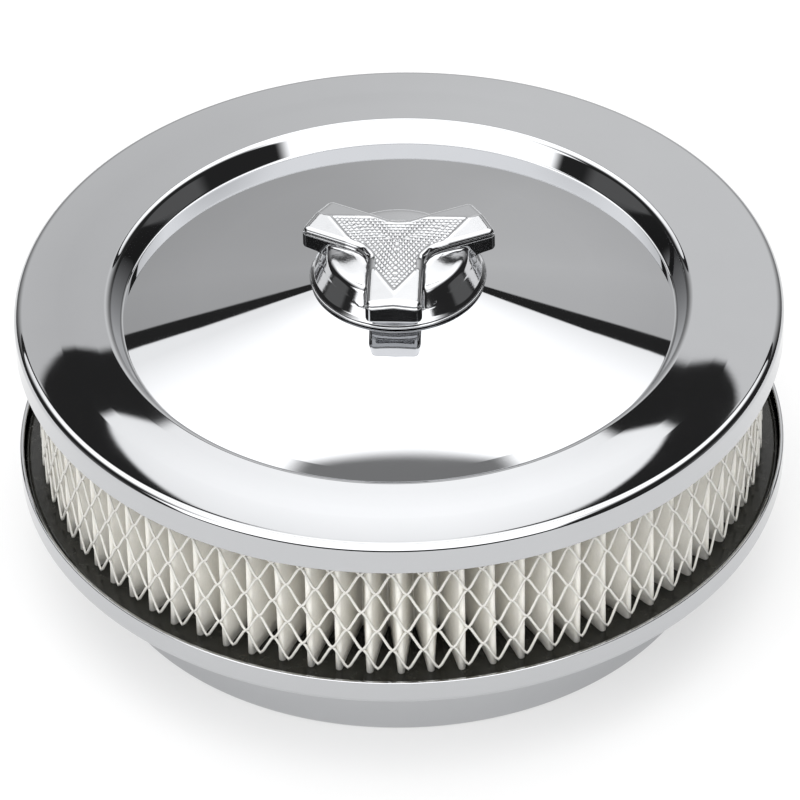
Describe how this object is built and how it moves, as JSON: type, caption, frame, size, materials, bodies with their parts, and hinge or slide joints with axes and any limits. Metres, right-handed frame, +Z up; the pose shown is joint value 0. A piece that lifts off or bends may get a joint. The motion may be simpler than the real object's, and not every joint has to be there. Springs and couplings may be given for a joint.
{
  "type": "air filter housing",
  "caption": "Round chromed air cleaner: dished lid over a pleated filter ring in a lipped pan with a carburettor neck, held by a three-armed wing nut.",
  "frame": {"origin": "centre of the neck's lower rim, at the bottom of the housing", "axes": "+Z up along the stud, -Y towards the front arm of the wing nut, +X to the right seen from the front"},
  "size_m": [0.164, 0.164, 0.0783],
  "materials": {
    "chrome_sheet": "mirror-bright chrome plate on pressed steel",
    "chrome_casting": "bright chrome plate on a die casting, stippled panel on top",
    "zinc_plate": "dull zinc-plated steel",
    "brass_thread": "turned brass",
    "black_seal": "glossy black moulded sealing compound",
    "coated_wire": "off-white coated expanded metal",
    "filter_paper": "cream resin-treated filter paper, folded in pleats",
    "gasket_fibre": "dark compressed fibre sheet"
  },
  "bodies": {
    "base": {"base_pan": "chrome_sheet", "neck_collar": "chrome_sheet", "carburettor_gasket": "gasket_fibre", "centre_stud": "zinc_plate"},
    "element": {"bottom_seal": "black_seal", "top_seal": "black_seal", "outer_screen": "coated_wire", "inner_screen": "coated_wire", "pleated_paper": "filter_paper", "seam_clip": "zinc_plate"},
    "lid": {"top_lid": "chrome_sheet"},
    "washer": {"sealing_washer": "black_seal"},
    "nut": {"wing_nut": "chrome_casting", "threaded_insert": "brass_thread"}
  },
  "joints": [
    {"name": "element_lift", "type": "slide", "parent": "base", "child": "element", "axis": [0, 0, 1], "range_m": [0, 0.06]},
    {"name": "lid_lift", "type": "slide", "parent": "element", "child": "lid", "axis": [0, 0, 1], "range_m": [0, 0.06]},
    {"name": "nut_travel", "type": "slide", "parent": "lid", "child": "washer", "axis": [0, 0, 1], "range_m": [0, 0.00509]},
    {"name": "nut_spin", "type": "hinge", "parent": "washer", "child": "nut", "pos_m": [0, 0, 0.0725], "axis": [0, 0, 1], "range_deg": [0, 1440]}
  ],
  "couplings": [
    {"joint": "nut_travel", "follows": "nut_spin", "m_per_rad": 0.00020213}
  ]
}
